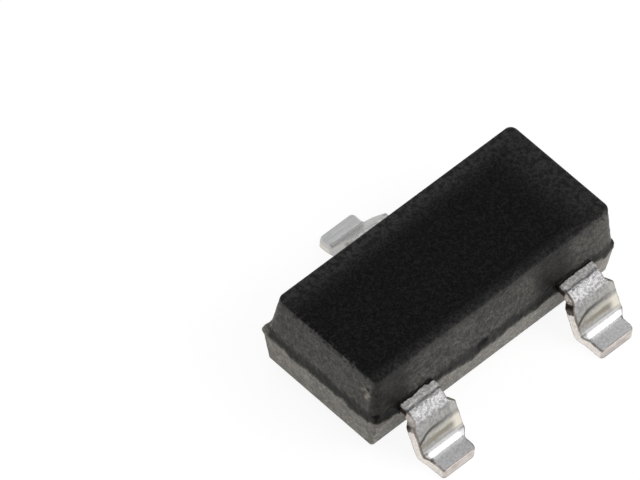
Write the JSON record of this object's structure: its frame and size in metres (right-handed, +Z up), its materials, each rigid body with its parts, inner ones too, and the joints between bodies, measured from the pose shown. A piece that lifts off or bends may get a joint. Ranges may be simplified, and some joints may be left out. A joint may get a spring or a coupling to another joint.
{
  "type": "switching diode",
  "caption": "Surface-mount switching diode: black moulded epoxy body with drafted walls and tin-plated gull-wing leads, with the chip, its paddle and its gold bond wire inside.",
  "frame": {"origin": "centre of the footprint, on the plane that the soles of the leads stand on", "axes": "+X along the length of the body, +Y towards the side with the lone lead, +Z up from the circuit board"},
  "size_m": [0.0028, 0.0024, 0.0009],
  "materials": {
    "black_epoxy": "fine matte texture of a spark-eroded mould",
    "matte_tin": "electroplated matte tin over a copper-alloy lead frame, bare at the trimmed ends",
    "silicon": "sawn silicon with a metal contact",
    "silver_epoxy": "cured silver-filled adhesive",
    "gold": "drawn gold wire"
  },
  "bodies": {
    "root": {"moulded_body": "black_epoxy", "cathode_lead": "matte_tin", "anode_lead": "matte_tin", "spare_lead": "matte_tin", "diode_die": "silicon", "die_attach": "silver_epoxy", "bond_wire": "gold"}
  },
  "joints": []
}
